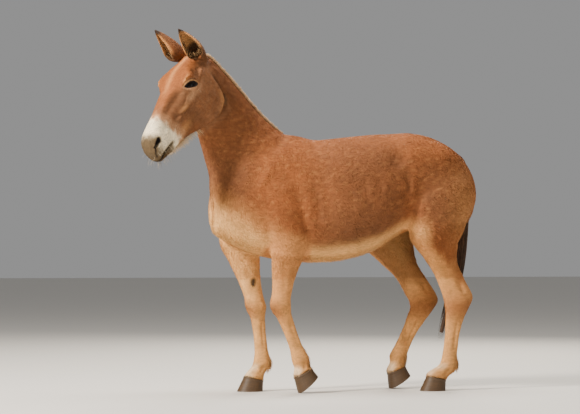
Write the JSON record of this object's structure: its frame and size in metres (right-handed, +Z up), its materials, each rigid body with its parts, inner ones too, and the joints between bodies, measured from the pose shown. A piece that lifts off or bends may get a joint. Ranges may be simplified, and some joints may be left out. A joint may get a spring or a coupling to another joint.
{
  "type": "mule",
  "caption": "Standing sorrel mule with long upright ears, a clipped pale mane, a mealy muzzle and belly, and its head turned to the left.",
  "frame": {"origin": "middle of the whole animal's box, at floor level", "axes": "+X towards the head, +Y to the animal's left, +Z up"},
  "size_m": [1.8654, 0.621, 1.867],
  "materials": {
    "coat": "short sorrel hair",
    "leg_coat": "short pale tan hair",
    "ear": "golden brown hair, grey-tan inside",
    "eye": "wet and dark",
    "hoof": "grey-brown horn with growth rings",
    "mane_hair": "clipped pale bristles",
    "tail_hair": "long dark brown hair"
  },
  "bodies": {
    "root": {"head": "coat", "neck": "coat", "trunk": "coat", "foreleg_left": "leg_coat", "foreleg_right": "leg_coat", "hindleg_left": "leg_coat", "hindleg_right": "leg_coat", "ear_left": "ear", "ear_right": "ear", "eye_left": "eye", "eye_right": "eye", "hoof_fore_left": "hoof", "hoof_fore_right": "hoof", "hoof_hind_left": "hoof", "hoof_hind_right": "hoof", "mane": "mane_hair", "tail": "tail_hair"}
  },
  "joints": []
}
